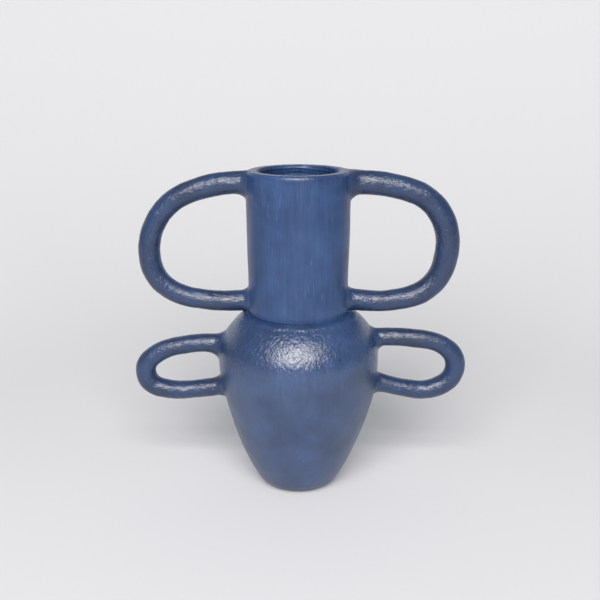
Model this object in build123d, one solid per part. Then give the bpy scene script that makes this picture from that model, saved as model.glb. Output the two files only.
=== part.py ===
from build123d import *

import math
import os

# Hand-built amphora: a body with a soft shoulder, a straight neck standing on it, and two
# pairs of rolled-coil loop handles. Millimetres, +Z up. The origin is the centre of the
# foot, on the surface that the vase stands on, and the handles lie in the XZ plane.

# Driving dimensions
HEIGHT = 340.0  # foot to the crest of the lip
WALL = 9.5  # thickness of the clay walls
FLOOR = 10.0  # thickness of the base slab
FOOT_RADIUS = 29.4  # flat part of the underside
BELLY_RADIUS = 84.6  # body at its widest
BELLY_HEIGHT = 141.0  # level of the widest ring
BELLY_JOIN = 80.0  # level where the belly wall is joined to the lower wall
SHOULDER_JOIN = 150.0  # level where the shoulder wall is joined to the belly wall
SEAT_HEIGHT = 192.5  # flat top of the shoulder, which carries the neck
SEAT_RADIUS = 53.7  # outer edge of that seat
NECK_RADIUS = 52.0  # neck at its foot
NECK_WAIST = (51.4, 216.0)  # radius and level where the neck is slimmest
NECK_SWELL = (52.4, 275.0)  # radius and level where it has swelled out again
NECK_EDGE = 2.0  # rounding of the neck's lower edge
LIP_RADIUS = 52.4  # outside of the lip
LIP_HEIGHT = 9.0  # height of the coil that forms the lip
LIP_THICKNESS = 11.4  # the coil overhangs the wall inside by the difference
LIP_CREST = 4.0  # height of the lip's rounded crest

# Body outline above the base's rounded edge, as radius and level
BASE_EDGE = [(FOOT_RADIUS, 0.0), (38.6, 4.1), (46.5, 14.0)]
LOWER_OUTLINE = [BASE_EDGE[-1], (59.4, 40.0), (73.4, 80.0), (82.2, 117.0), (BELLY_RADIUS, BELLY_HEIGHT)]
SHOULDER_OUTLINE = [
    (BELLY_RADIUS, BELLY_HEIGHT),
    (84.1, 152.0),
    (77.1, 170.0),
    (61.9, 188.0),
    (SEAT_RADIUS, SEAT_HEIGHT),
]
LOWER_SHARES = (0.2, 0.55, 1.0)  # where the hollow's outline is taken off the lower one
SHOULDER_SHARES = (0.5, 0.8)  # and off the shoulder's

# Handles: radius of the rolled coil, and the corners that its centreline bends round, as
# x and level, from the upper root to the lower one. Each was rolled and bent by hand, so
# no two are alike.
HANDLES = {
    "upper_left": (
        11.3,
        [(-44, 328), (-89, 325.7), (-132.5, 308.3), (-154.6, 271.8)]
        + [(-151.5, 231.3), (-126.8, 210), (-89, 203), (-44, 204)],
    ),
    "upper_right": (
        12.2,
        [(44, 327.5), (89, 326.7), (135.5, 312.3), (156.2, 274.2)]
        + [(148.8, 230.5), (127, 208.9), (88, 201.8), (44, 206.5)],
    ),
    "lower_left": (
        10.7,
        [(-72, 156.6), (-107, 157.5), (-144, 150.2), (-165.5, 133.2)]
        + [(-160, 109.4), (-132, 103.3), (-104, 105.4), (-72, 110.3)],
    ),
    "lower_right": (
        10.5,
        [(72, 163.5), (108, 164.3), (148.3, 158.9), (169.3, 142)]
        + [(165.3, 114), (136.5, 102), (110, 106.6), (72, 116.6)],
    ),
}
BEND_SHARE = 0.49  # share of the shorter run that each bend takes up

# Luting coils: soft clay pressed round each handle's root, as the ring's spread over the
# wall and its reach along the handle
LUTING = {
    "upper_left_top": (4.5, 6.0),
    "upper_left_bottom": (3.0, 4.0),
    "upper_right_top": (5.0, 7.5),
    "upper_right_bottom": (3.0, 4.0),
    "lower_left_top": (5.0, 7.0),
    "lower_left_bottom": (3.5, 5.0),
    "lower_right_top": (5.0, 7.5),
    "lower_right_bottom": (4.5, 6.0),
}
LUTING_EDGE = 0.7  # blunt edge left at the rim of a luting coil
LUTING_DEPTH = 14.0  # how far the ring's shape runs in under the curved wall
FLARE_MIDDLE = (0.32, 0.34)  # middle of the hollow flare, as shares of its reach and spread

# Inner coils: clay pressed into the two joints that are reached from inside
BASE_COIL_REACH = 8.0  # up the wall and along the floor
BASE_COIL_MIDDLE = (-0.15, 0.35)  # middle of its hollow face, as shares of that reach
BASE_COIL_TOP = 0.4  # its upper edge, out from the floor's edge, as a share of the reach
NECK_COIL_RADIUS = 5.0
NECK_COIL_SINK = 2.0  # how far that coil's centre lies behind the wall's face

MARGIN = 20.0  # length by which a cutting shape overruns what it cuts


def flat_points(outline):
    """Points of the XZ plane from pairs of radius and level."""
    return [(radius, 0, level) for radius, level in outline]


def inside_line(edge, shares):
    """Points one wall thickness inside an outline, at shares of its length."""
    points = []
    for share in shares:
        along = edge % share
        points.append(edge @ share + Vector(-along.Z, 0, along.X) * WALL)
    return points


def outline_radius(edge, level):
    """Radius of a rising outline at a level, by halving the stretch that holds it."""
    low, high = 0.0, 1.0
    for _ in range(40):
        middle = (low + high) / 2
        if (edge @ middle).Z < level:
            low = middle
        else:
            high = middle
    return (edge @ low).X


def turned(edges):
    """Solid of revolution about the vase's axis from a closed run of edges."""
    return revolve(make_face(edges), Axis.Z)


def level_band(low, high):
    """Wide disc between two levels, which cuts one ring out of the wall."""
    return Pos(0, 0, low) * Cylinder(
        2 * BELLY_RADIUS, high - low, align=(Align.CENTER, Align.CENTER, Align.MIN)
    )


def bend_radii(points):
    """Bend radius at each inner corner: the largest that its two runs leave room for."""
    radii = []
    for before, corner, after in zip(points, points[1:], points[2:]):
        run_in = Vector(*corner) - Vector(*before)
        run_out = Vector(*after) - Vector(*corner)
        half_turn = math.radians(run_in.get_angle(run_out)) / 2
        shorter = min(run_in.length, run_out.length)
        radii.append(BEND_SHARE * shorter / math.tan(half_turn))
    return radii


def handle_tube(radius, corners):
    """Round tube along the tangent arcs of a handle's centreline."""
    points = flat_points(corners)
    path = FilletPolyline(*points, radius=bend_radii(points))
    section = Plane(origin=path @ 0, z_dir=path % 0) * Circle(radius)
    return sweep(section, path)


def luting_ring(radius, spread, reach, root, towards):
    """Flared ring round a handle's root: widest at the wall, closing on the handle."""
    outward = (towards - root).normalized()
    plane = Plane(origin=root, x_dir=outward, z_dir=(0, -1, 0))
    top = radius + LUTING_EDGE
    core = radius / 2
    widest = (0, radius + spread)
    middle = (FLARE_MIDDLE[0] * reach, top + FLARE_MIDDLE[1] * (spread - LUTING_EDGE))
    outline = Polyline((reach, top), (reach, core), (-LUTING_DEPTH, core), (-LUTING_DEPTH, top), widest)
    flare = ThreePointArc(widest, middle, (reach, top))
    face = plane * make_face([*outline.edges(), flare])
    return revolve(face, Axis(origin=root, direction=outward))


def save(solid, name):
    """Writes one piece of the vase as its own file."""
    export_step(solid, os.path.join("parts", name + ".step"))


os.makedirs("parts", exist_ok=True)

# Outline of the vase, foot to seat
base_edge = ThreePointArc(*flat_points(BASE_EDGE))
lower_edge = Spline(*flat_points(LOWER_OUTLINE), tangents=[(0.52, 0, 0.85), (0, 0, 1)])
shoulder_edge = Spline(*flat_points(SHOULDER_OUTLINE), tangents=[(0, 0, 1), (-0.9, 0, 0.44)])
axis_foot = (0, 0, 0)
axis_seat = (0, 0, SEAT_HEIGHT)
filled_body = turned(
    [
        Line(axis_foot, base_edge @ 0),
        base_edge,
        lower_edge,
        shoulder_edge,
        Line(shoulder_edge @ 1, axis_seat),
        Line(axis_seat, axis_foot),
    ]
)

# Hollow of the body: the outline moved in by the wall, down to the slab's upper face
bore_radius = NECK_RADIUS - WALL
floor_radius = outline_radius(base_edge, FLOOR) - WALL
lower_inside = inside_line(lower_edge, LOWER_SHARES)
shoulder_inside = inside_line(shoulder_edge, SHOULDER_SHARES)
hollow_edge = Spline(
    (floor_radius, 0, FLOOR), *lower_inside, *shoulder_inside, (bore_radius, 0, SEAT_HEIGHT - WALL / 2)
)
hollow_top = (0, 0, HEIGHT + MARGIN)
hollow = turned(
    [
        Line((0, 0, FLOOR), hollow_edge @ 0),
        hollow_edge,
        Polyline(hollow_edge @ 1, (bore_radius, 0, HEIGHT + MARGIN), hollow_top, (0, 0, FLOOR)),
    ]
)

# Body: slab, lower wall, belly wall and shoulder wall, one on the other
body_shell = filled_body - hollow
save(body_shell & level_band(0, FLOOR), "base_slab")
save(body_shell & level_band(FLOOR, BELLY_JOIN), "lower_wall")
save(body_shell & level_band(BELLY_JOIN, SHOULDER_JOIN), "belly_wall")
save(body_shell & level_band(SHOULDER_JOIN, SEAT_HEIGHT), "shoulder_wall")

# Neck: a slightly waisted cylinder with a rounded lower edge
lip_seat = HEIGHT - LIP_HEIGHT
edge_middle = (1 - math.sqrt(0.5)) * NECK_EDGE
neck_foot = ThreePointArc(
    (NECK_RADIUS - NECK_EDGE, 0, SEAT_HEIGHT),
    (NECK_RADIUS - edge_middle, 0, SEAT_HEIGHT + edge_middle),
    (NECK_RADIUS, 0, SEAT_HEIGHT + NECK_EDGE),
)
neck_side = Spline(neck_foot @ 1, *flat_points([NECK_WAIST, NECK_SWELL, (LIP_RADIUS, lip_seat)]))
filled_neck = turned(
    [
        Line(axis_seat, neck_foot @ 0),
        neck_foot,
        neck_side,
        Polyline(neck_side @ 1, (0, 0, lip_seat), axis_seat),
    ]
)
save(filled_neck - hollow, "neck_cylinder")

# Lip: a coil with a rounded crest, laid on the neck's upper edge and a little thicker than the wall
lip_bore = LIP_RADIUS - LIP_THICKNESS
lip_crown = HEIGHT - LIP_CREST
lip_outside = (LIP_RADIUS, 0, lip_crown)
lip_inside = (lip_bore, 0, lip_crown)
lip_arc = ThreePointArc(lip_outside, (LIP_RADIUS - LIP_THICKNESS / 2, 0, HEIGHT), lip_inside)
lip_base = Polyline(lip_inside, (lip_bore, 0, lip_seat), (LIP_RADIUS, 0, lip_seat), lip_outside)
save(turned([lip_arc, lip_base]), "rim_coil")
filled_lip = turned(
    [
        Polyline((0, 0, HEIGHT), (0, 0, lip_seat), (LIP_RADIUS, 0, lip_seat), lip_outside),
        ThreePointArc(lip_arc @ 0, lip_arc @ 0.25, lip_arc @ 0.5),
        Line(lip_arc @ 0.5, (0, 0, HEIGHT)),
    ]
)
filled_vase = filled_body + filled_neck + filled_lip

# Coils pressed into the joints inside
coil_foot = (floor_radius - BASE_COIL_REACH, 0, FLOOR)
coil_middle = (
    floor_radius + BASE_COIL_MIDDLE[0] * BASE_COIL_REACH,
    0,
    FLOOR + BASE_COIL_MIDDLE[1] * BASE_COIL_REACH,
)
coil_top = (floor_radius + BASE_COIL_TOP * BASE_COIL_REACH, 0, FLOOR + BASE_COIL_REACH)
coil_back = floor_radius + BASE_COIL_REACH
base_coil = turned(
    [
        ThreePointArc(coil_foot, coil_middle, coil_top),
        Polyline(coil_top, (coil_back, 0, FLOOR + BASE_COIL_REACH), (coil_back, 0, FLOOR), coil_foot),
    ]
)
save(base_coil & hollow, "base_inner_coil")
neck_coil_circle = Plane(
    origin=(bore_radius + NECK_COIL_SINK, 0, SEAT_HEIGHT), x_dir=(1, 0, 0), z_dir=(0, -1, 0)
) * Circle(NECK_COIL_RADIUS)
save(revolve(neck_coil_circle, Axis.Z) & hollow, "neck_inner_coil")

# Handles, cut where they meet the wall, and the luting coils round their roots, which are
# pressed flush with the lip and never lie over it
below_crest = level_band(0, HEIGHT)
over_lip = Pos(0, 0, lip_seat) * Cylinder(
    LIP_RADIUS, HEIGHT - lip_seat, align=(Align.CENTER, Align.CENTER, Align.MIN)
)
for side, (coil_radius, corners) in HANDLES.items():
    tube = handle_tube(coil_radius, corners)
    save(tube - filled_vase, side + "_handle")
    for end, (root_corner, next_corner) in {"top": corners[:2], "bottom": corners[:-3:-1]}.items():
        spread, reach = LUTING[side + "_" + end]
        inner = Vector(root_corner[0], 0, root_corner[1])
        outer = Vector(next_corner[0], 0, next_corner[1])
        if inner.Z > SEAT_HEIGHT:
            wall_x = NECK_RADIUS
        elif inner.Z > BELLY_HEIGHT:
            wall_x = outline_radius(shoulder_edge, inner.Z)
        else:
            wall_x = outline_radius(lower_edge, inner.Z)
        slide = (math.copysign(wall_x, inner.X) - inner.X) / (outer.X - inner.X)
        root = inner + (outer - inner) * slide
        ring = luting_ring(coil_radius, spread, reach, root, outer)
        free_ring = ring - tube - filled_vase - over_lip
        save(free_ring & below_crest, side + "_" + end + "_luting_coil")
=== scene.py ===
import itertools
import math

import bmesh
import bpy
import numpy as np
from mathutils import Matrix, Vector
from mathutils.bvhtree import BVHTree


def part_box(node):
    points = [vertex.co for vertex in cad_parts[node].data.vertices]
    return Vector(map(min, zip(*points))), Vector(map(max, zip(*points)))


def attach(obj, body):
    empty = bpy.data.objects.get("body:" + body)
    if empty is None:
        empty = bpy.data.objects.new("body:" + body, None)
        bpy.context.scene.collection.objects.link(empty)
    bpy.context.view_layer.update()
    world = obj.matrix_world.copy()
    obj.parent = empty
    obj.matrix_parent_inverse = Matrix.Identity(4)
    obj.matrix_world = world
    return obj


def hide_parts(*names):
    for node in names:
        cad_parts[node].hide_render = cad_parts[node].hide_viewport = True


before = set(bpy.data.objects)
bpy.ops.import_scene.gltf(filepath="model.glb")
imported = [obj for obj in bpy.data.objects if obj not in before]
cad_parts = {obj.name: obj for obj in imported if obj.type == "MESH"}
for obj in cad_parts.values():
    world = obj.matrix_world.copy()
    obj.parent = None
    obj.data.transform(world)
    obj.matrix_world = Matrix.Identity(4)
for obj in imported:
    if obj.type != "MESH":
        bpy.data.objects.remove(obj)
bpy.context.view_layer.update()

# The amphora's looks, in metres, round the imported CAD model. Every visible piece is a clay
# surface of its own, which takes its outline from the CAD node that it stands for and adds
# what a hand leaves: lumps, wrinkles, uneven coils and smoothed roots.

MM = 0.001

# Mesh spacing
STEP = 1.0 * MM  # along visible outlines and handles
HIDDEN_STEP = 4.0 * MM  # up the inside of the body
BODY_TURN = 500  # points round the body
NECK_TURN = 340  # points round the neck
INNER_TURN = 240  # points round the two inner coils
COIL_TURN = 72  # points round a handle

# Handles: corners of the centreline from the upper root to the lower one, as x and level in
# millimetres, the coil's radius at even steps along it, and how far the coil wanders out of
# its plane, first to which side.
HANDLES = {
    "upper_left": {
        "corners": [(-44, 328), (-89, 325.7), (-132.5, 308.3), (-154.6, 271.8)]
        + [(-151.5, 231.3), (-126.8, 210), (-89, 203), (-44, 204)],
        "radii": (11.7, 11.6, 11.4, 11.1, 11.4, 11.4, 10.9, 10.8, 10.6, 10.9),
        "wander": 0.9,
    },
    "upper_right": {
        "corners": [(44, 327.5), (89, 326.7), (135.5, 312.3), (156.2, 274.2)]
        + [(148.8, 230.5), (127, 208.9), (88, 201.8), (44, 206.5)],
        "radii": (12.3, 12.4, 12.4, 12.3, 12.5, 12.4, 11.9, 11.2, 10.9, 11.8),
        "wander": -1.1,
    },
    "lower_left": {
        "corners": [(-72, 156.6), (-107, 157.5), (-144, 150.2), (-165.5, 133.2)]
        + [(-160, 109.4), (-132, 103.3), (-104, 105.4), (-72, 110.3)],
        "radii": (10.3, 9.9, 9.7, 10.1, 10.9, 11.0, 10.2, 9.8, 9.7, 9.8),
        "wander": 0.7,
    },
    "lower_right": {
        "corners": [(72, 163.5), (108, 164.3), (148.3, 158.9), (169.3, 142)]
        + [(165.3, 114), (136.5, 102), (110, 106.6), (72, 116.6)],
        "radii": (9.9, 9.7, 10.1, 9.8, 10.4, 10.5, 10.6, 9.9, 9.6, 10.2),
        "wander": -0.6,
    },
}
BEND_SHARE = 0.49  # share of the shorter run that each bend takes up
BEND_POINTS = 24  # points along each bend
BEND_EASE = 3.5 * MM  # how far the bends are softened
RADIUS_BLUR = 10  # points over which the coil's radius is evened out, each way

# Smoothed clay at the roots, in millimetres: how far it spreads over the wall and reaches
# along the handle, on the handle's upper side, its flanks and its underside. "over" is how
# far it is drawn in over the lip, and "web" the share of it drawn round behind the handle.
ROOTS = {
    "upper_left_top": {"spread": (2.0, 4.5, 6.0), "reach": (8.0, 8.0, 13.0), "over": 2.5},
    "upper_left_bottom": {"spread": (5.0, 3.5, 1.5), "reach": (9.0, 6.0, 3.0)},
    "upper_right_top": {
        "spread": (3.5, 7.5, 5.5),
        "reach": (20.0, 14.0, 9.0),
        "over": 5.0,
        "web": 1.0,
    },
    "upper_right_bottom": {"spread": (2.0, 4.0, 2.0), "reach": (4.0, 7.0, 5.0)},
    "lower_left_top": {"spread": (4.5, 6.0, 9.5), "reach": (8.0, 9.0, 18.0)},
    "lower_left_bottom": {"spread": (6.5, 5.0, 3.0), "reach": (13.0, 8.0, 10.0)},
    "lower_right_top": {"spread": (3.0, 5.0, 7.0), "reach": (5.0, 8.0, 9.0)},
    "lower_right_bottom": {"spread": (2.0, 4.0, 5.0), "reach": (3.0, 7.0, 10.0)},
}
ROOT_SINK = 1.0 * MM  # how far a handle's end lies under the wall's face
SKIN_SINK = 0.15 * MM  # how far the thin edges of the smoothed clay tuck under
SKIN_DEPTH = 1.6 * MM  # thickness of that clay under its face
ROOT_EASE = 9.0 * MM  # length over which a handle's rings turn square to it
SKIN_ROWS = 17  # points from the handle to the wall over that clay
ROOT_RUN = 8  # points of the centreline that give a root's direction
ROOT_ROWS = 40  # rings of the handle within a root's reach

# The wall is thicker where it takes a handle: side, level and extra thickness in millimetres
SWELLS = [
    (-1, 326, 1.2),
    (1, 327, 3.0),
    (-1, 204, 1.0),
    (1, 206, 1.0),
    (-1, 157, 1.2),
    (1, 164, 1.2),
    (-1, 108, 0.8),
    (1, 112, 0.8),
]

# Lumps in the clay, in millimetres: their size, their height on a wall, and how much higher
# they are on a coil and on the shoulder
LUMPS = [(48, 0.28, 0, 0), (15, 0.07, 0.25, 0), (6.5, 0.03, 0.12, 0), (3.2, 0.012, 0.07, 0.025)]

# Other marks of the hand, in millimetres
BELLY_SLACK = 0.35  # the widest ring falls short
COIL_SLACK = 0.15  # and so does a coil
CREASE_DEPTH = 0.34  # of the upright creases on the shoulder
SEAM_BEAD = 1.35  # clay pushed up under the neck's seam
NECK_SWELL = 0.5  # the neck is fuller at half its height
FINGER_RIDGE = 0.22  # up the inside of the neck

# The body leans to one side and back as it rises: level and shift along x, in millimetres
LEAN = [(0, 0), (50, 0.1), (80, 0.9), (108, 1.3), (132, 0.3), (158, 0.2), (178, 1.3), (196, 1.3)]


# ---------------------------------------------------------------- outlines

def cad_outline(node, inside, step=STEP):
    """Radius and level up one face of a CAD wall, read along the front."""
    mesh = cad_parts[node].data
    tree = BVHTree.FromPolygons([v.co for v in mesh.vertices], [p.vertices for p in mesh.polygons])
    low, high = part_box(node)[0].z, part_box(node)[1].z
    hair = 0.02 * MM
    points = []
    for level in np.linspace(low + hair, high - hair, max(3, round((high - low) / step))):
        start = Vector((0, 0 if inside else -1, level))
        hit = tree.ray_cast(start, Vector((0, -1 if inside else 1, 0)))[0]
        if hit is not None:
            points.append((math.hypot(hit.x, hit.y), level))
    points[0] = (points[0][0], low)
    points[-1] = (points[-1][0], high)
    return np.array(points)


def spaced(points, step):
    """The same line with points at even steps."""
    points = np.asarray(points, float)
    lengths = np.linalg.norm(np.diff(points, axis=0), axis=1)
    along = np.concatenate([[0], np.cumsum(lengths)])
    count = max(2, round(along[-1] / step) + 1)
    wanted = np.linspace(0, along[-1], count)
    return np.stack([np.interp(wanted, along, column) for column in points.T], axis=1)


def softened(points, step, spread):
    """A line with its corners and facets eased over a distance, its ends kept."""
    line = spaced(points, step)
    reach = min(max(1, round(3 * spread / step)), len(line) - 1)
    weights = np.exp(-0.5 * (np.arange(-reach, reach + 1) * step / spread) ** 2)
    weights /= weights.sum()
    before = 2 * line[0] - line[reach:0:-1]
    after = 2 * line[-1] - line[-2 : -reach - 2 : -1]
    padded = np.concatenate([before, line, after])
    return np.stack([np.convolve(column, weights, "valid") for column in padded.T], axis=1)


def stretch(outline, low, high, step):
    """Part of a rising outline between two levels."""
    level = outline[:, 1]
    inner = outline[(level > low + 1e-6) & (level < high - 1e-6)]
    ends = [[np.interp(at, level, outline[:, 0]), at] for at in (low, high)]
    return spaced(np.concatenate([[ends[0]], inner, [ends[1]]]), step)


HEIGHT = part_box("rim_coil")[1].z
LIP_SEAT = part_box("rim_coil")[0].z
LIP_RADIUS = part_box("rim_coil")[1].y
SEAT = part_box("neck_cylinder")[0].z
SHOULDER_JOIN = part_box("shoulder_wall")[0].z
BELLY_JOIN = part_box("belly_wall")[0].z
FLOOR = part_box("base_slab")[1].z
BODY_NODES = ("base_slab", "lower_wall", "belly_wall", "shoulder_wall")
body_outside = softened(
    np.concatenate([cad_outline(node, False, 0.5 * MM) for node in BODY_NODES]), 0.5 * MM, 2.0 * MM
)
body_inside = softened(
    np.concatenate([cad_outline(node, True) for node in BODY_NODES[1:]]), 1.0 * MM, 3.0 * MM
)
neck_outside = softened(cad_outline("neck_cylinder", False), 1.0 * MM, 3.0 * MM)
BORE = float(cad_outline("neck_cylinder", True)[-1][0])
LIP_BORE = float(cad_outline("rim_coil", True)[1][0])
BELLY_LEVEL = float(body_outside[np.argmax(body_outside[:, 0]), 1])

# The lip's section, from the neck's outside over the crest to the bore
LIP_TOP = HEIGHT - 0.35 * MM
CREST_LIMIT = HEIGHT - 0.15 * MM  # no clay rises over this
WEB_LEVEL = HEIGHT - 0.2 * MM  # of clay drawn over the lip
LIP_CREST = (0.62 * LIP_RADIUS + 0.38 * LIP_BORE, LIP_TOP)
lip_line = softened(
    [
        (LIP_RADIUS, LIP_SEAT),
        (LIP_RADIUS + 0.1 * MM, HEIGHT - 4.6 * MM),
        (LIP_RADIUS - 0.7 * MM, HEIGHT - 1.6 * MM),
        (LIP_RADIUS - 2.6 * MM, LIP_TOP - 0.1 * MM),
        LIP_CREST,
        (LIP_BORE + 1.8 * MM, LIP_TOP - 0.1 * MM),
        (LIP_BORE + 0.3 * MM, LIP_TOP - 0.9 * MM),
        (LIP_BORE - 0.1 * MM, LIP_TOP - 2.6 * MM),
        (LIP_BORE + 0.2 * MM, LIP_TOP - 5.5 * MM),
        (BORE, LIP_SEAT),
    ],
    0.5 * MM,
    0.8 * MM,
)
lip_top = int(np.argmax(lip_line[:, 1]))
WALL_LEVELS = np.concatenate([body_outside[:, 1], neck_outside[1:, 1], lip_line[1 : lip_top + 1, 1]])
WALL_RADII = np.concatenate([body_outside[:, 0], neck_outside[1:, 0], lip_line[1 : lip_top + 1, 0]])


def wall_radius(level):
    """Outside radius of the vase at a level."""
    return np.interp(level, WALL_LEVELS, WALL_RADII)


# ---------------------------------------------------------------- clay

SHUFFLE = np.random.default_rng(20).permutation(256)
LEANINGS = np.random.default_rng(21).normal(size=(256, 3))
LEANINGS /= np.linalg.norm(LEANINGS, axis=1)[:, None]


def noise(points, cell, seed):
    """Smooth lumps, from about -1 to 1, one cell across."""
    place = np.asarray(points, float) / cell + 0.37 * seed
    corner = np.floor(place).astype(int)
    part = place - corner
    fade = part**3 * (part * (6 * part - 15) + 10)
    total = np.zeros(place.shape[:-1])
    for step in itertools.product((0, 1), repeat=3):
        at = (corner + step + seed * 17) & 255
        pick = SHUFFLE[(SHUFFLE[(SHUFFLE[at[..., 0]] + at[..., 1]) & 255] + at[..., 2]) & 255]
        lean = ((part - step) * LEANINGS[pick]).sum(-1)
        total += np.where(step, fade, 1 - fade).prod(-1) * lean
    return total * 1.6


def ease(value):
    """0 to 1 with soft ends."""
    value = np.clip(value, 0, 1)
    return value * value * (3 - 2 * value)


def bell(value, middle, width):
    """1 at the middle, falling to nothing on both sides."""
    return np.exp(-(((value - middle) / width) ** 2))


def clay_zones(points):
    """How much each point belongs to a coil, to the outside of the wall, to the wrinkled
    shoulder and to the inside of the neck, 0 to 1."""
    radius = np.hypot(points[..., 0], points[..., 1])
    level = points[..., 2]
    wall = wall_radius(level)
    coil = ease((radius - wall - 1 * MM) / (8 * MM))
    outside = (1 - coil) * (radius > wall - 3 * MM)
    above_belly = ease((level - SHOULDER_JOIN + 12 * MM) / (14 * MM))
    below_seam = ease((SEAT + 2 * MM - level) / (6 * MM))
    bore = (radius < wall - 6 * MM) * ease((level - SEAT) / (8 * MM))
    return coil, outside, outside * above_belly * below_seam, bore


def clay_lift(points):
    """How far the clay stands off its true form: slow swells, lumps, dents and wrinkles.
    Coils are rougher than walls, and the shoulder is wrinkled upright."""
    coil, outside, shoulder, bore = clay_zones(points)
    level = points[..., 2]
    lift = -BELLY_SLACK * (1 - coil) * bell(level, BELLY_LEVEL, 22 * MM) - COIL_SLACK * coil
    for seed, (size, on_wall, on_coil, on_shoulder) in enumerate(LUMPS, 1):
        lift += (on_wall + on_coil * coil + on_shoulder * shoulder) * noise(points, size * MM, seed)
    crease = np.clip(1 - np.abs(noise(points * (1, 1, 0.32), 7.5 * MM, 5)) / 0.11, 0, 1)
    patch = ease(noise(points, 20 * MM, 6) * 1.6 + 0.4)
    lift -= CREASE_DEPTH * shoulder * crease * patch
    lift += SEAM_BEAD * shoulder * bell(level, SEAT - 1.9 * MM, 1.6 * MM)
    below_lip = 1 - ease((level - HEIGHT + 7 * MM) / (6 * MM))
    for side, height, thicker in SWELLS:
        near = bell(points[..., 1], 0, 14 * MM) * bell(level, height * MM, 13 * MM)
        lift += thicker * outside * below_lip * near * (points[..., 0] * side > 0)
    lift += NECK_SWELL * outside * (level > SEAT) * bell(level, SEAT + 62 * MM, 32 * MM)
    lift += FINGER_RIDGE * bore * np.sin(level / (0.58 * MM) + 4.0 * noise(points, 25 * MM, 7))
    return lift * MM


def under_crest(points):
    """Points pressed down softly so that none rises over the lip."""
    softness = 0.35 * MM
    room = (CREST_LIMIT - points[..., 2]) / softness
    points[..., 2] = CREST_LIMIT - softness * np.logaddexp(0, room)
    return points


# ---------------------------------------------------------------- meshes

def write_attribute(mesh, name, values):
    """A number or a vector for each point, which the glazes read."""
    kind, field = ("FLOAT_VECTOR", "vector") if values.ndim == 2 else ("FLOAT", "value")
    mesh.attributes.new(name, kind, "POINT").data.foreach_set(field, np.ravel(values))


def new_piece(name, vertices, faces, material, normals=None, brushing=None, coil=None):
    """A closed, smooth-shaded piece that stands for the CAD node of its name. Given normals
    are used where they aren't zero. Brushing gives each point's place across and along the
    strokes of the brush; without it they run upright. Coil says how far the wall's colour has
    given way to the coil's, 0 to 1. The lower body is less crinkled than the rest."""
    mesh = bpy.data.meshes.new(name)
    mesh.from_pydata(vertices.tolist(), [], faces)
    work = bmesh.new()
    work.from_mesh(mesh)
    bmesh.ops.recalc_face_normals(work, faces=work.faces)
    work.to_mesh(mesh)
    work.free()
    mesh.shade_smooth()
    mesh.set_sharp_from_angle(angle=math.radians(50))
    if normals is not None:
        mesh.normals_split_custom_set_from_vertices(normals.tolist())
    crinkled = np.ones(len(vertices))
    if name in BODY_NODES:
        crinkled = 0.25 + 0.75 * ease((vertices[:, 2] - SHOULDER_JOIN + 34 * MM) / (32 * MM))
    write_attribute(mesh, "brushing", vertices if brushing is None else brushing)
    write_attribute(mesh, "crinkled", crinkled)
    write_attribute(mesh, "coil", np.ones(len(vertices)) if coil is None else coil)
    piece = bpy.data.objects.new(name, mesh)
    bpy.context.scene.collection.objects.link(piece)
    mesh.materials.append(material)
    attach(piece, "root")
    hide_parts(name)


def ring_faces(rows, turn, closed=False):
    """Quads of a grid whose rows run round."""
    faces = []
    for row in range(rows if closed else rows - 1):
        here = row * turn
        above = ((row + 1) % rows) * turn
        for column in range(turn):
            right = (column + 1) % turn
            faces.append((here + column, here + right, above + right, above + column))
    return faces


def turned(line, turn, share=1.0):
    """Rows of points and of normals of a line of radius and level, turned about the axis,
    lifted as clay by a share, and leant over with the body. The clay lies on the left of the
    line."""
    line = np.asarray(line, float)
    angles = np.linspace(0, 2 * math.pi, turn, endpoint=False)
    along = np.gradient(line, axis=0)
    along /= np.linalg.norm(along, axis=1)[:, None]

    def spin(radius, level):
        columns = [np.outer(radius, np.cos(angles)), np.outer(radius, np.sin(angles))]
        return np.stack(columns + [np.repeat(level[:, None], turn, 1)], axis=-1)

    points = spin(line[:, 0], line[:, 1])
    facing = spin(along[:, 1], -along[:, 0])
    share = np.broadcast_to(share, (len(line),))
    points = under_crest(points + facing * (clay_lift(points) * share[:, None])[..., None])
    levels, shifts = np.array(LEAN).T * MM
    in_body = line[:, 1] <= SEAT + 0.1 * MM
    points[..., 0] += (np.interp(line[:, 1], levels, shifts) * in_body)[:, None]
    around = np.roll(points, -1, axis=1) - np.roll(points, 1, axis=1)
    normals = np.cross(around, np.gradient(points, axis=0))
    normals /= np.linalg.norm(normals, axis=-1)[..., None] + 1e-12
    return points, normals


def courses(runs, turn, shares=1.0):
    """Rows and normals of runs that follow each other, worked out as one surface, so that
    no joint shows."""
    line = np.concatenate([runs[0]] + [run[1:] for run in runs[1:]])
    points, normals = turned(line, turn, shares)
    blocks = []
    first = 0
    for run in runs:
        last = first + len(run)
        blocks.append((points[first:last], normals[first:last]))
        first = last - 1
    return blocks


def ring_piece(name, blocks, turn, material):
    """A turned piece with a hole through it: blocks of rows joined by flat faces."""
    rows, normals = [], []
    for block, following in zip(blocks, blocks[1:] + blocks[:1]):
        start, end = block[0][-1], following[0][0]
        between = [start + (end - start) * share for share in (0.02, 0.35, 0.65, 0.98)]
        rows += [*block[0], *between]
        normals += [*block[1], *np.zeros_like(between)]
    rows, normals = np.array(rows), np.array(normals)
    faces = ring_faces(len(rows), turn, closed=True)
    new_piece(name, rows.reshape(-1, 3), faces, material, normals.reshape(-1, 3))


# ---------------------------------------------------------------- handles

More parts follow.
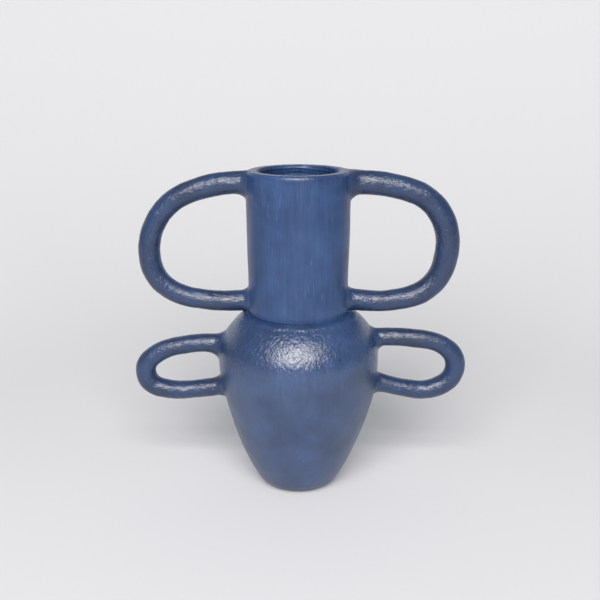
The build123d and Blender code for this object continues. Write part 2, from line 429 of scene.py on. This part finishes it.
def bent_line(corners):
    """A handle's centreline: straight runs with tangent arcs, then eased like clay."""
    corners = np.array([(x, 0, z) for x, z in corners], float) * MM
    points = [corners[0]]
    for before, corner, after in zip(corners, corners[1:], corners[2:]):
        back, on = before - corner, after - corner
        shorter = min(np.linalg.norm(back), np.linalg.norm(on))
        back /= np.linalg.norm(back)
        on /= np.linalg.norm(on)
        half_turn = (math.pi - math.acos(float(np.clip(back @ on, -1, 1)))) / 2
        length = BEND_SHARE * shorter
        radius = length / math.tan(half_turn)
        middle = back + on
        centre = corner + middle / np.linalg.norm(middle) * radius / math.cos(half_turn)
        start, end = corner + back * length - centre, corner + on * length - centre
        for share in np.linspace(0, 1, BEND_POINTS):
            angle = 2 * half_turn
            weight_start = math.sin((1 - share) * angle) / math.sin(angle)
            weight_end = math.sin(share * angle) / math.sin(angle)
            points.append(centre + start * weight_start + end * weight_end)
    points.append(corners[-1])
    return softened(points, 0.5 * MM, BEND_EASE)


def tree_of(rows):
    """Search tree over a grid of rows that run round."""
    faces = ring_faces(len(rows), rows.shape[1])
    return BVHTree.FromPolygons(rows.reshape(-1, 3).tolist(), faces)


def crossing(starts, way):
    """How far along a direction lines through the starts first meet the vase from outside.
    A line that passes over the lip takes its neighbour's distance."""
    far = 30 * MM
    found = []
    for start in starts:
        origin = Vector(start + way * far)
        hits = [tree.ray_cast(origin, Vector(-way), 2 * far)[3] for tree in WALL_TREES]
        hits = [hit for hit in hits if hit is not None]
        found.append(far - min(hits) if hits else np.nan)
    found = np.array(found)
    good = np.flatnonzero(~np.isnan(found))
    missing = np.flatnonzero(np.isnan(found))
    for index in missing:
        apart = np.abs(good - index)
        found[index] = found[good[np.argmin(np.minimum(apart, len(found) - apart))]]
    return found


# Angles round a handle. Angle 0 is the upper side at its upper root.
ANGLES = np.linspace(0, 2 * math.pi, COIL_TURN, endpoint=False)


class Root:
    """Where a handle meets the wall: the point on its centreline and its way out."""

    def __init__(self, line):
        distance = np.hypot(line[:, 0], line[:, 1]) - wall_radius(line[:, 2])
        self.index = int(np.argmax(distance > 0))
        self.point = line[self.index]
        way = line[self.index + ROOT_RUN] - line[self.index]
        self.way = way / np.linalg.norm(way)


def cross_axes(line):
    """The ways up and sideways, square to a centreline, at each of its points."""
    tangent = np.gradient(line, axis=0)
    tangent /= np.linalg.norm(tangent, axis=1)[:, None]
    sideways = np.array([0.0, 1.0, 0.0]) - tangent * tangent[:, 1:2]
    sideways /= np.linalg.norm(sideways, axis=1)[:, None]
    upward = np.cross(sideways, tangent)
    return (upward if upward[0, 2] > 0 else -upward), sideways


def handle_rows(side):
    """Rings of a rolled and bent coil, from its upper root to its lower one."""
    spec = HANDLES[side]
    line = bent_line(spec["corners"])
    first, last = Root(line), Root(line[::-1])
    line = spaced(line[first.index : len(line) - last.index], STEP)
    count = len(line)
    along = np.linspace(0, 1, count)
    wander = spec["wander"] * MM * np.sin(along * math.pi * 2) * np.sin(along * math.pi)
    line = line + np.stack([0 * along, wander, 0 * along], axis=1)
    upward, sideways = cross_axes(line)
    ring = np.cos(ANGLES)[:, None] * upward[:, None] + np.sin(ANGLES)[:, None] * sideways[:, None]
    stops = np.linspace(0, 1, len(spec["radii"]))
    radii = np.interp(along, stops, spec["radii"]) * MM
    window = 2 * RADIUS_BLUR + 1
    radii = np.convolve(np.pad(radii, RADIUS_BLUR, "edge"), np.full(window, 1 / window), "valid")
    rows = line[:, None] + ring * radii[:, None, None]
    rows = under_crest(rows + ring * clay_lift(rows)[..., None])
    # Ends: rings slide along the handle until they lie under the wall's face
    for root, order in ((first, 1), (last, -1)):
        slide = crossing(rows[::order][0], root.way) - ROOT_SINK
        share = 1 - ease(np.arange(count)[::order] * STEP / ROOT_EASE)
        rows = rows + share[:, None, None] * slide[None, :, None] * root.way
    return rows, np.linalg.norm(rows - line[:, None], axis=2), first, last


def along_coil(radii, lengths):
    """Places across and along a coil, for the strokes of the brush."""
    radii, lengths = np.broadcast_arrays(radii, lengths)
    return np.stack([radii * np.cos(ANGLES), radii * np.sin(ANGLES), lengths], axis=-1)


def end_cap(rim, edge, total, root):
    """Rings that close a handle behind the wall's face, as points and faces. The rim's points
    are numbered from edge, and the new ones from total."""
    middle = rim.mean(axis=0)
    points, faces = [], []
    for share in (0.75, 0.5, 0.25):
        starts = middle + (rim - middle) * share
        points.append(starts + (crossing(starts, root.way) - ROOT_SINK)[:, None] * root.way)
        for column in range(COIL_TURN):
            right = (column + 1) % COIL_TURN
            faces.append((edge + column, edge + right, total + right, total + column))
        edge = total
        total += COIL_TURN
    points.append(points[-1].mean(axis=0)[None])
    faces += [(edge + column, edge + (column + 1) % COIL_TURN, total) for column in range(COIL_TURN)]
    return np.concatenate(points), faces


def handle_piece(side, material):
    """A handle closed at both ends by caps that follow the wall's face."""
    rows, radii, first, last = handle_rows(side)
    count = len(rows)
    vertices = rows.reshape(-1, 3)
    brushing = along_coil(radii, np.arange(count)[:, None] * STEP).reshape(-1, 3)
    faces = ring_faces(count, COIL_TURN)
    for root, edge in ((first, 0), (last, (count - 1) * COIL_TURN)):
        points, cap = end_cap(vertices[edge : edge + COIL_TURN], edge, len(vertices), root)
        strokes = brushing[edge : edge + COIL_TURN]
        vertices = np.concatenate([vertices, points])
        brushing = np.concatenate([brushing, strokes, strokes, strokes, strokes.mean(axis=0)[None]])
        faces += cap
    new_piece(side + "_handle", vertices, faces, material, brushing=brushing)
    return rows, first, last


def by_side(values, upward):
    """One value per angle round a root, from those of its top, flanks and underside."""
    top, flank, under = (value * MM for value in values)
    lean = np.cos(ANGLES) * upward
    upper, lower = np.clip(lean, 0, 1) ** 2, np.clip(-lean, 0, 1) ** 2
    return upper * top + lower * under + (1 - upper - lower) * flank


def root_edges(rows, root, spread, reach):
    """Rings of a root on the handle, where handle and wall meet, and on the wall, with the
    way from the handle's centreline out to each point."""
    offsets = rows[2] - root.point
    offsets = offsets - (offsets @ root.way)[:, None] * root.way
    outward = offsets / np.linalg.norm(offsets, axis=1)[:, None]
    starts = root.point + offsets
    gap = crossing(starts, root.way)
    meet = starts + gap[:, None] * root.way
    near = rows[:ROOT_ROWS]
    travel = (near - root.point) @ root.way
    top = np.empty_like(meet)
    for column in range(COIL_TURN):
        wanted = gap[column] + reach[column]
        for axis in range(3):
            top[column, axis] = np.interp(wanted, travel[:, column], near[:, column, axis])
    on_wall = starts + outward * spread[:, None]
    landing = on_wall + crossing(on_wall, root.way)[:, None] * root.way
    return top, meet, landing, outward


def draw_over_lip(shape, root, top, meet, landing):
    """Moves a root's edge on the wall in over the lip, and round behind the handle as a web.
    Returns how much of each point's clay is web."""
    over = np.clip(np.cos(ANGLES), 0, 1) ** 2 * shape.get("over", 0.0) * MM
    landing -= over[:, None] * root.way * (1, 1, 0)
    landing[:, 2] = np.minimum(landing[:, 2], WEB_LEVEL)
    turn = np.degrees(ANGLES)
    web = ease(turn / 25) * ease((120 - turn) / 45) * shape.get("web", 0.0)
    azimuth = np.radians(np.clip(turn, 0, 120) * 0.26)
    on_lip = np.stack([np.cos(azimuth), np.sin(azimuth), 0 * azimuth], axis=1) * (LIP_RADIUS - 3 * MM)
    on_lip[:, 2] = WEB_LEVEL
    landing += (on_lip - landing) * web[:, None]
    halfway = (top + landing) / 2 + (0, 0, 1.2 * MM)
    meet += (halfway - meet) * web[:, None]
    return web


def root_face(shares, top, meet, landing, outward):
    """Rings of the hollow face between a root's edges, tucked in at both, and the way that
    it faces at the wall."""
    part = shares[:, None, None]
    face = (1 - part) ** 2 * top + 2 * part * (1 - part) * meet + part**2 * landing
    around = np.roll(face, -1, axis=1) - np.roll(face, 1, axis=1)
    normal = np.cross(np.gradient(face, axis=0), around)
    normal /= np.linalg.norm(normal, axis=-1)[..., None] + 1e-12
    if (normal[0] * outward).sum() < 0:
        normal = -normal
    tuck = np.interp(shares, (0, 0.1, 0.9, 1), (1, 0, 0, 1)) * SKIN_SINK
    lift = clay_lift(face) * np.sin(shares * math.pi)[:, None] - tuck[:, None]
    return under_crest(face + normal * lift[..., None]), normal[-1]


def root_piece(side, end, rows, root, material):
    """Clay smoothed round a root, with a hollow face and a thin body behind it."""
    coil_length = (len(rows) - 1) * STEP
    if end == "bottom":
        rows = rows[::-1]
    # Angle 0 runs on along the outer side of the bend, which is the underside at the bottom
    upward = 1 if end == "top" else -1
    shape = ROOTS[side + "_" + end]
    spread, reach = by_side(shape["spread"], upward), by_side(shape["reach"], upward)
    top, meet, landing, outward = root_edges(rows, root, spread, reach)
    web = draw_over_lip(shape, root, top, meet, landing)[:, None]
    shares = np.linspace(0, 1, SKIN_ROWS)
    face, facing = root_face(shares, top, meet, landing, outward)
    behind_top = face[0] - outward * SKIN_DEPTH
    behind_meet = meet - (outward + root.way + web * (0, 0, 1)) * SKIN_DEPTH
    behind_landing = face[-1] - facing * SKIN_DEPTH
    rings = np.concatenate([face, [behind_landing, behind_meet, behind_top]])
    out = (rings - root.point) @ root.way
    apart = np.linalg.norm(rings - root.point - out[..., None] * root.way, axis=2)
    brushing = along_coil(apart, out if end == "top" else coil_length - out).reshape(-1, 3)
    fade = np.concatenate([1 - ease((shares - 0.35) / 0.6), (0, 0, 1)])
    new_piece(
        side + "_" + end + "_luting_coil",
        rings.reshape(-1, 3),
        ring_faces(len(rings), COIL_TURN, closed=True),
        material,
        brushing=brushing,
        coil=np.repeat(fade, COIL_TURN),
    )


# ---------------------------------------------------------------- materials

def add_node(tree, kind, inputs=None, **settings):
    """A shader node with its settings and inputs; an input is a value or a socket."""
    node = tree.nodes.new(kind)
    for key, value in settings.items():
        setattr(node, key, value)
    for key, value in (inputs or {}).items():
        if isinstance(value, bpy.types.NodeSocket):
            tree.links.new(value, node.inputs[key])
        else:
            node.inputs[key].default_value = value
    return node


def texture(tree, place, lumps, detail, rough, distortion=0.0):
    """Noise at a place, about 0.5 on average, with so many lumps a metre."""
    inputs = {"Vector": place, "Scale": lumps, "Detail": detail, "Roughness": rough}
    inputs["Distortion"] = distortion
    return add_node(tree, "ShaderNodeTexNoise", inputs).outputs["Fac"]


def attribute(tree, name, output="Fac"):
    """What a piece's points carry under a name."""
    return add_node(tree, "ShaderNodeAttribute", attribute_name=name).outputs[output]


def drawn_out(tree, place, share):
    """Places squeezed along the strokes, so that a texture on them is drawn out to streaks."""
    inputs = {"Vector": place, "Scale": (1.0, 1.0, share)}
    return add_node(tree, "ShaderNodeMapping", inputs).outputs["Vector"]


def fitted(tree, value, low, high, start=0.0, end=1.0):
    """A value between low and high, fitted to run from start to end."""
    inputs = {"Value": value, "From Min": low, "From Max": high, "To Min": start, "To Max": end}
    return add_node(tree, "ShaderNodeMapRange", inputs).outputs["Result"]


def worked_out(tree, operation, first, second):
    """Two values added or multiplied."""
    return add_node(tree, "ShaderNodeMath", {0: first, 1: second}, operation=operation).outputs[0]


def between(tree, share, first, second):
    """A colour part of the way from one to another, each a socket or three numbers."""
    ends = [(*end, 1) if isinstance(end, tuple) else end for end in (first, second)]
    inputs = {"Factor": share, "A": ends[0], "B": ends[1]}
    return add_node(tree, "ShaderNodeMix", inputs, data_type="RGBA").outputs["Result"]


def bump(tree, height, strength, distance, normal=None):
    """Relief added to a normal."""
    inputs = {"Height": height, "Strength": strength, "Distance": distance}
    if normal is not None:
        inputs["Normal"] = normal
    return add_node(tree, "ShaderNodeBump", inputs).outputs["Normal"]


# Glazes: the deep and the light blue, how much the brush marks show, how many folds a metre
# the crinkled skin has and how high they are, roughness at the glossiest and the dullest
# brush marks, and strength of the reflections. "wall" is what the blues fade to at a root.
GLAZES = {
    "neck_glaze": {
        "blues": ((0.0155, 0.040, 0.113), (0.031, 0.075, 0.193)),
        "streak": 0.6,
        "folds": 330.0,
        "crinkle": 0.14 * MM,
        "sheen": (0.28, 0.46),
        "shine": 0.48,
    },
    "lip_glaze": {
        "blues": ((0.0150, 0.038, 0.108), (0.029, 0.070, 0.180)),
        "streak": 0.4,
        "folds": 330.0,
        "crinkle": 0.45 * MM,
        "sheen": (0.22, 0.38),
        "shine": 0.5,
    },
    "body_glaze": {
        "blues": ((0.0140, 0.035, 0.096), (0.026, 0.062, 0.162)),
        "streak": 0.3,
        "folds": 380.0,
        "crinkle": 0.60 * MM,
        "sheen": (0.20, 0.33),
        "shine": 0.95,
    },
    "coil_glaze": {
        "blues": ((0.0105, 0.027, 0.074), (0.018, 0.043, 0.118)),
        "wall": ((0.0148, 0.037, 0.104), (0.028, 0.068, 0.176)),
        "streak": 0.1,
        "folds": 320.0,
        "crinkle": 0.80 * MM,
        "sheen": (0.22, 0.35),
        "shine": 0.72,
    },
}
SCRATCH_COLOUR = (0.11, 0.17, 0.30)
MOST_SCRATCHED = 0.45  # share of that colour in the strongest scratches


def glaze_colour(tree, spec, place, lay, brush):
    """Clouds of two blues under brush marks, with patches of short pale scratches."""
    streak = spec["streak"]
    marks = worked_out(tree, "MULTIPLY", brush, streak)
    clouds = texture(tree, place, lumps=28.0, detail=3.0, rough=0.55)
    mixture = worked_out(tree, "ADD", clouds, marks)
    share = fitted(tree, mixture, 0.36 * (1 + streak), 0.64 * (1 + streak))
    colour = between(tree, share, *spec["blues"])
    lines = texture(tree, drawn_out(tree, lay, 0.09), lumps=620.0, detail=1.0, rough=0.5)
    line = fitted(tree, lines, 0.62, 0.70, end=streak)
    patches = texture(tree, place, lumps=30.0, detail=1.0, rough=0.5)
    patch = fitted(tree, patches, 0.53, 0.62, end=MOST_SCRATCHED)
    colour = between(tree, worked_out(tree, "MULTIPLY", line, patch), colour, SCRATCH_COLOUR)
    if "wall" in spec:
        colour = between(tree, attribute(tree, "coil"), between(tree, share, *spec["wall"]), colour)
    return colour


def glaze_roughness(tree, spec, brush, crinkled):
    """Gloss that comes and goes with the brush marks, and less of it on a smooth skin."""
    dullness = fitted(tree, brush, 0.3, 0.7, *spec["sheen"])
    smoother = fitted(tree, crinkled, 0.0, 1.0, start=0.16, end=0.0)
    return worked_out(tree, "ADD", dullness, smoother)


def glaze_relief(tree, spec, place, lay, brush, crinkled):
    """A crinkled skin with brush marks and a fine grain on it."""
    skin = texture(tree, drawn_out(tree, lay, 0.55), spec["folds"], detail=3.0, rough=0.6, distortion=0.8)
    grain = texture(tree, place, lumps=1100.0, detail=2.0, rough=0.6)
    relief = bump(tree, skin, crinkled, spec["crinkle"])
    relief = bump(tree, brush, 0.6, 0.12 * MM, relief)
    return bump(tree, grain, 0.5, 0.06 * MM, relief)


def glaze(name):
    """Satin blue glaze brushed over clay."""
    spec = GLAZES[name]
    material = bpy.data.materials.new(name)
    material.use_nodes = True
    tree = material.node_tree
    tree.nodes.clear()
    place = add_node(tree, "ShaderNodeTexCoord").outputs["Object"]
    lay = attribute(tree, "brushing", "Vector")
    crinkled = attribute(tree, "crinkled")
    brush = texture(tree, drawn_out(tree, lay, 0.07), lumps=260.0, detail=4.0, rough=0.6)
    inputs = {
        "Base Color": glaze_colour(tree, spec, place, lay, brush),
        "Roughness": glaze_roughness(tree, spec, brush, crinkled),
        "Normal": glaze_relief(tree, spec, place, lay, brush, crinkled),
        "IOR": 1.5,
        "Specular IOR Level": spec["shine"],
    }
    shader = add_node(tree, "ShaderNodeBsdfPrincipled", inputs)
    output = add_node(tree, "ShaderNodeOutputMaterial")
    tree.links.new(shader.outputs["BSDF"], output.inputs["Surface"])
    return material


neck_glaze = glaze("neck_glaze")
lip_glaze = glaze("lip_glaze")
body_glaze = glaze("body_glaze")
coil_glaze = glaze("coil_glaze")


# ---------------------------------------------------------------- the vase

def make_body():
    """Slab and three courses of wall. Returns the rows of the outside."""
    edge = stretch(body_outside, 0, FLOOR, STEP)
    lower = stretch(body_outside, FLOOR, BELLY_JOIN, STEP)
    belly = stretch(body_outside, BELLY_JOIN, SHOULDER_JOIN, STEP)
    slope = stretch(body_outside, SHOULDER_JOIN, SEAT, STEP)
    shoulder = softened([*slope, (BORE, SEAT)], STEP, 0.9 * MM)
    runs = [edge, lower, belly, shoulder]
    # The foot stays flat: the clay's unevenness sets in over the first rows
    total = sum(len(run) for run in runs) - len(runs) + 1
    shares = ease(np.arange(total) / 4)
    blocks = courses(runs, BODY_TURN, shares)
    hollow = []
    for low, high in ((SHOULDER_JOIN, SEAT), (BELLY_JOIN, SHOULDER_JOIN), (FLOOR, BELLY_JOIN)):
        hollow.append(stretch(body_inside, low, high, HIDDEN_STEP)[::-1])
    hollow[0][0] = (BORE, SEAT)
    inner = courses(hollow, BODY_TURN)
    ring_piece("shoulder_wall", [blocks[3], inner[0]], BODY_TURN, body_glaze)
    ring_piece("belly_wall", [blocks[2], inner[1]], BODY_TURN, body_glaze)
    ring_piece("lower_wall", [blocks[1], inner[2]], BODY_TURN, body_glaze)
    make_slab(*blocks[0])
    return np.concatenate([block[0] for block in blocks])


def make_slab(rows, normals):
    """The base: a flat foot, a rounded edge, and the floor inside."""
    shares = (0.98, 0.7, 0.4, 0.1)  # of the radius, from the edge inwards
    foot = [rows[0] * (share, share, 1) for share in shares[::-1]]
    floor = [rows[-1] * (share, share, 1) for share in shares]
    grid = np.array([*foot, *rows, *floor])
    vertices = np.concatenate([grid.reshape(-1, 3), [(0, 0, 0)], [(0, 0, FLOOR)]])
    faces = ring_faces(len(grid), BODY_TURN)
    last = (len(grid) - 1) * BODY_TURN
    for column in range(BODY_TURN):
        right = (column + 1) % BODY_TURN
        faces.append((right, column, len(vertices) - 2))
        faces.append((last + column, last + right, len(vertices) - 1))
    facing = np.zeros_like(vertices)
    first = len(foot) * BODY_TURN
    facing[first : first + rows.shape[0] * BODY_TURN] = normals.reshape(-1, 3)
    new_piece("base_slab", vertices, faces, body_glaze, facing)


def make_neck():
    """Neck, standing a hair into its seat, and the coil that ends it. Returns the rows of
    the outside."""
    foot = SEAT - 1.3 * MM
    side = neck_outside[neck_outside[:, 1] > SEAT + 2.2 * MM]
    start = side[0][0]
    outline = [(start - 2.4 * MM, foot), (start - 0.6 * MM, foot + 0.6 * MM), (start, foot + 1.9 * MM)]
    outer = softened([*outline, *side], STEP, 0.5 * MM)
    outer[-1] = lip_line[0]
    lip = spaced(lip_line, 0.7 * MM)
    bore = spaced([(BORE, LIP_SEAT), (BORE, foot)], 1.3 * MM)
    neck, rim, inside = courses([outer, lip, bore], NECK_TURN)
    ring_piece("neck_cylinder", [neck, inside], NECK_TURN, neck_glaze)
    ring_piece("rim_coil", [rim], NECK_TURN, lip_glaze)
    return np.concatenate([neck[0], rim[0]])


def make_inner_coils():
    """Clay pressed into the two joints that a hand reaches from inside."""
    low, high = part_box("base_inner_coil")
    reach = high.z - low.z
    edge = float(np.interp(FLOOR, body_inside[:, 1], body_inside[:, 0]))
    top_edge = float(np.interp(high.z, body_inside[:, 1], body_inside[:, 0]))
    face = [(top_edge - 0.4 * MM, high.z), (edge - 0.05 * reach, low.z + 0.45 * reach)]
    face += [(edge - 0.45 * reach, low.z + 0.12 * reach), (edge - reach, low.z)]
    back = [(edge + 0.5 * MM, low.z), (top_edge + 0.5 * MM, high.z)]
    blocks = [turned(softened(face, 0.8 * MM, 1.5 * MM), INNER_TURN), turned(back, INNER_TURN)]
    ring_piece("base_inner_coil", blocks, INNER_TURN, body_glaze)
    low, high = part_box("neck_inner_coil")
    half = (high.z - low.z) / 2
    turn = np.linspace(0, math.pi, 16)
    bulge = np.stack([BORE - 3.0 * MM * np.sin(turn), SEAT + half * np.cos(turn)], axis=1)
    back = [(BORE + 0.8 * MM, SEAT - half), (BORE + 0.8 * MM, SEAT + half)]
    blocks = [turned(bulge, INNER_TURN), turned(back, INNER_TURN)]
    ring_piece("neck_inner_coil", blocks, INNER_TURN, body_glaze)


WALL_TREES = [tree_of(make_body()), tree_of(make_neck())]
make_inner_coils()
for side in HANDLES:
    rings, top_root, bottom_root = handle_piece(side, coil_glaze)
    root_piece(side, "top", rings, top_root, coil_glaze)
    root_piece(side, "bottom", rings, bottom_root, coil_glaze)


# ---------------------------------------------------------------- studio

def make_floor():
    """Round floor that sweeps up behind the vase, so that no horizon shows."""
    flat = 0.5  # radius of the flat middle
    rise = 1.2  # height of the sweep, straight behind
    turn = 96  # points round
    rows = [(0.001, 0.0), (flat / 2, 0.0)]
    for angle in np.linspace(0, math.pi / 2, 18):
        rows.append((flat + rise * math.sin(angle), rise * (1 - math.cos(angle))))
    angles = np.linspace(0, 2 * math.pi, turn, endpoint=False)
    lifts = 0.1 + 0.9 * ease((np.sin(angles) - 0.40) / 0.40)  # low in front and at the sides
    vertices = []
    for radius, level in rows:
        for angle, lift in zip(angles, lifts):
            vertices.append((radius * math.cos(angle), radius * math.sin(angle), level * lift))
    faces = ring_faces(len(rows), turn)
    faces.append(tuple(range(turn))[::-1])
    mesh = bpy.data.meshes.new("studio_floor")
    mesh.from_pydata(vertices, [], faces)
    mesh.shade_smooth()
    paper = bpy.data.materials.new("studio_paper")
    paper.use_nodes = True
    shader = paper.node_tree.nodes["Principled BSDF"]
    shader.inputs["Base Color"].default_value = (0.705, 0.731, 0.760, 1)
    shader.inputs["Roughness"].default_value = 0.9
    shader.inputs["Specular IOR Level"].default_value = 0.1
    mesh.materials.append(paper)
    floor = bpy.data.objects.new("studio_floor", mesh)
    bpy.context.scene.collection.objects.link(floor)


def soft_light(name, azimuth, elevation, distance, size, radiance, colour):
    """Rectangular soft box that faces the vase's middle. Azimuth 0 is in front of it."""
    middle = Vector((0, 0, HEIGHT / 2))
    azimuth, elevation = math.radians(azimuth), math.radians(elevation)
    flat = math.cos(elevation)
    way = Vector((math.sin(azimuth) * flat, -math.cos(azimuth) * flat, math.sin(elevation)))
    light = bpy.data.lights.new(name, "AREA")
    light.shape = "RECTANGLE"
    light.size, light.size_y = size
    light.energy = radiance * math.pi * size[0] * size[1]
    light.color = colour
    box = bpy.data.objects.new(name, light)
    box.location = middle + way * distance
    box.rotation_euler = way.to_track_quat("Z", "Y").to_euler()
    bpy.context.scene.collection.objects.link(box)


CAMERA_PLACE = (0.0018, -0.8655, 0.4478)
CAMERA_DIP = 15.734  # degrees down from level
LENS = 51.6  # millimetres
FILM_WIDTH = 36.0  # millimetres


def make_camera():
    """The photograph's point of view."""
    lens = bpy.data.cameras.new("camera")
    lens.sensor_width = FILM_WIDTH
    lens.lens = LENS
    camera = bpy.data.objects.new("camera", lens)
    camera.location = CAMERA_PLACE
    camera.rotation_euler = (math.radians(90 - CAMERA_DIP), 0, 0)
    bpy.context.scene.collection.objects.link(camera)
    bpy.context.scene.camera = camera


def make_studio():
    """Floor, one large soft box, an even sky, and the camera."""
    make_floor()
    soft_light("key", -4, 37, distance=4.0, size=(3.2, 2.2), radiance=10.8, colour=(1.0, 0.94, 0.91))
    world = bpy.data.worlds.new("studio")
    world.use_nodes = True
    sky = world.node_tree.nodes["Background"]
    sky.inputs["Color"].default_value = (0.95, 0.96, 1.0, 1)
    sky.inputs["Strength"].default_value = 0.26
    bpy.context.scene.world = world
    bpy.context.scene.view_settings.view_transform = "Standard"
    make_camera()


make_studio()
